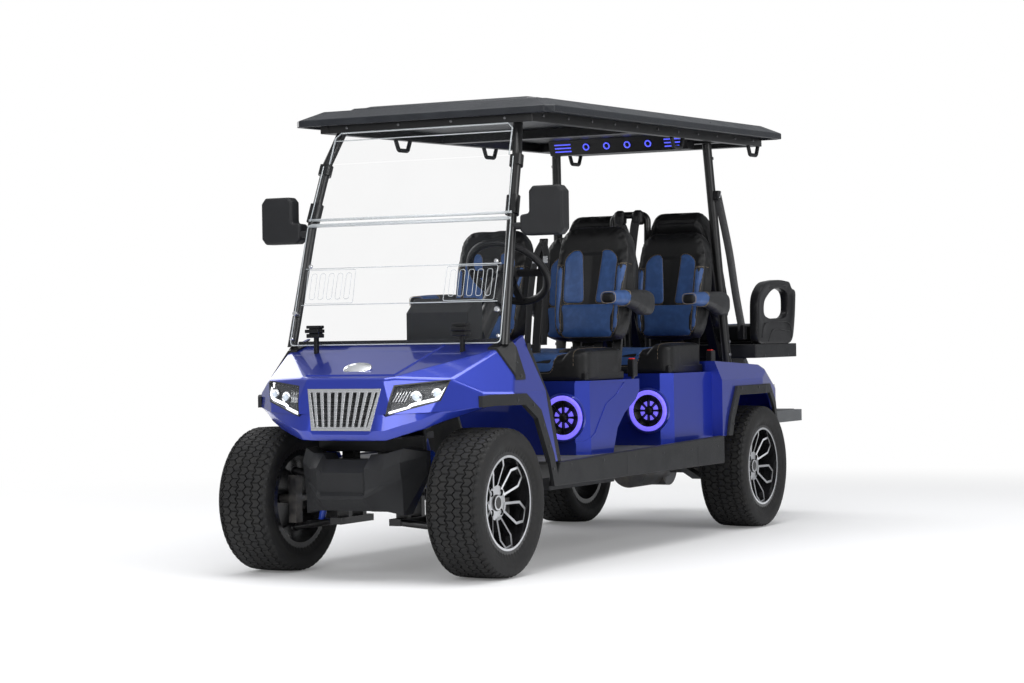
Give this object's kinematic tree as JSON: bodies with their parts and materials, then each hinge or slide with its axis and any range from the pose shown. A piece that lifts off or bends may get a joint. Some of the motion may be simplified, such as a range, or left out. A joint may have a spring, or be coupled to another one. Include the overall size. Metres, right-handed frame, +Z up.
{
  "type": "golf cart",
  "caption": "Electric golf cart with two forward bench rows, a rear-facing fold-over bench, full roof, windshield and alloy wheels.",
  "frame": {"origin": "centre of the bounding box on the ground, under the middle of the vehicle", "axes": "+Z up, -Y the way the vehicle drives forwards, +X to the vehicle's left (the driver's side)"},
  "size_m": [1.362, 3.616, 1.8792],
  "materials": {
    "tyre": "matte",
    "wheel_alloy": "machined",
    "cast_parts": "cast",
    "black_steel": "satin",
    "blue_steel": "gloss",
    "battery_case": "matte",
    "floor_mat": "textured",
    "dark_trim": "textured",
    "body_paint": "metallic gloss",
    "bright_trim": "satin",
    "lamp": "clear over black",
    "grip": "matte",
    "pane": "clear",
    "roof_skin": "grained",
    "upholstery": "soft"
  },
  "bodies": {
    "chassis": {"suspension_arms": "black_steel", "shock_absorbers": "blue_steel", "steering_rack": "cast_parts", "rear_axle": "cast_parts", "leaf_springs": "black_steel", "battery_block": "battery_case", "chassis_frame": "black_steel", "floor_pan": "floor_mat", "rocker_panels": "dark_trim", "front_body": "body_paint", "grille": "bright_trim", "headlamps": "lamp", "front_bumper": "dark_trim", "front_flares": "dark_trim", "pillar_trims": "dark_trim", "dashboard": "dark_trim", "steering_column": "dark_trim", "windshield_posts": "black_steel", "windshield_lower": "pane", "windshield_upper": "pane", "mirrors": "dark_trim", "roof": "roof_skin", "roof_rails": "black_steel", "grab_handles": "dark_trim", "rear_posts": "black_steel", "seat_box_front": "body_paint", "rear_body": "body_paint", "rear_flares": "dark_trim", "speakers": "dark_trim", "tail_lamps": "bright_trim", "cushions_first": "upholstery", "cushions_second": "upholstery", "seat_backs_first": "upholstery", "seat_backs_second": "upholstery", "seat_brackets": "black_steel", "armrests": "upholstery", "rear_tray": "dark_trim", "rear_backs": "upholstery", "rear_back_brackets": "black_steel", "rear_armrests": "dark_trim", "footrest": "black_steel", "belt_hoop": "black_steel", "light_bar": "dark_trim"},
    "knuckle_left": {"knuckle_left": "cast_parts"},
    "knuckle_right": {"knuckle_right": "cast_parts"},
    "wheel_front_left": {"tyre_front_left": "tyre", "rim_front_left": "wheel_alloy"},
    "wheel_front_right": {"tyre_front_right": "tyre", "rim_front_right": "wheel_alloy"},
    "wheel_rear_left": {"tyre_rear_left": "tyre", "rim_rear_left": "wheel_alloy"},
    "wheel_rear_right": {"tyre_rear_right": "tyre", "rim_rear_right": "wheel_alloy"},
    "steering_wheel": {"steering_wheel": "grip"},
    "rear_cushion": {"rear_cushion": "upholstery"}
  },
  "joints": [
    {"name": "steer_left", "type": "hinge", "parent": "chassis", "child": "knuckle_left", "pos_m": [0.388, -1.517, 0.281], "axis": [0, 0, 1], "range_deg": [-25, 25]},
    {"name": "steer_right", "type": "hinge", "parent": "chassis", "child": "knuckle_right", "pos_m": [-0.388, -1.517, 0.281], "axis": [0, 0, 1], "range_deg": [-25, 25]},
    {"name": "steering_wheel_turn", "type": "hinge", "parent": "chassis", "child": "steering_wheel", "pos_m": [0.235, -0.893, 1.155], "axis": [0, 0.7071, 0.7071], "range_deg": [-300, 300]},
    {"name": "wheel_spin_front_left", "type": "hinge", "parent": "knuckle_left", "child": "wheel_front_left", "pos_m": [0.456, -1.517, 0.281], "axis": [1, 0, 0], "continuous": true},
    {"name": "wheel_spin_front_right", "type": "hinge", "parent": "knuckle_right", "child": "wheel_front_right", "pos_m": [-0.456, -1.517, 0.281], "axis": [1, 0, 0], "continuous": true},
    {"name": "wheel_spin_rear_left", "type": "hinge", "parent": "chassis", "child": "wheel_rear_left", "pos_m": [0.456, 0.995, 0.281], "axis": [1, 0, 0], "continuous": true},
    {"name": "wheel_spin_rear_right", "type": "hinge", "parent": "chassis", "child": "wheel_rear_right", "pos_m": [-0.456, 0.995, 0.281], "axis": [1, 0, 0], "continuous": true},
    {"name": "rear_cushion_fold", "type": "hinge", "parent": "chassis", "child": "rear_cushion", "pos_m": [0, 1.618, 0.845], "axis": [-1, 0, 0], "range_deg": [0, 180]}
  ],
  "couplings": [
    {"joint": "steer_right", "follows": "steer_left", "ratio": 1},
    {"joint": "steering_wheel_turn", "follows": "steer_left", "ratio": 12}
  ]
}
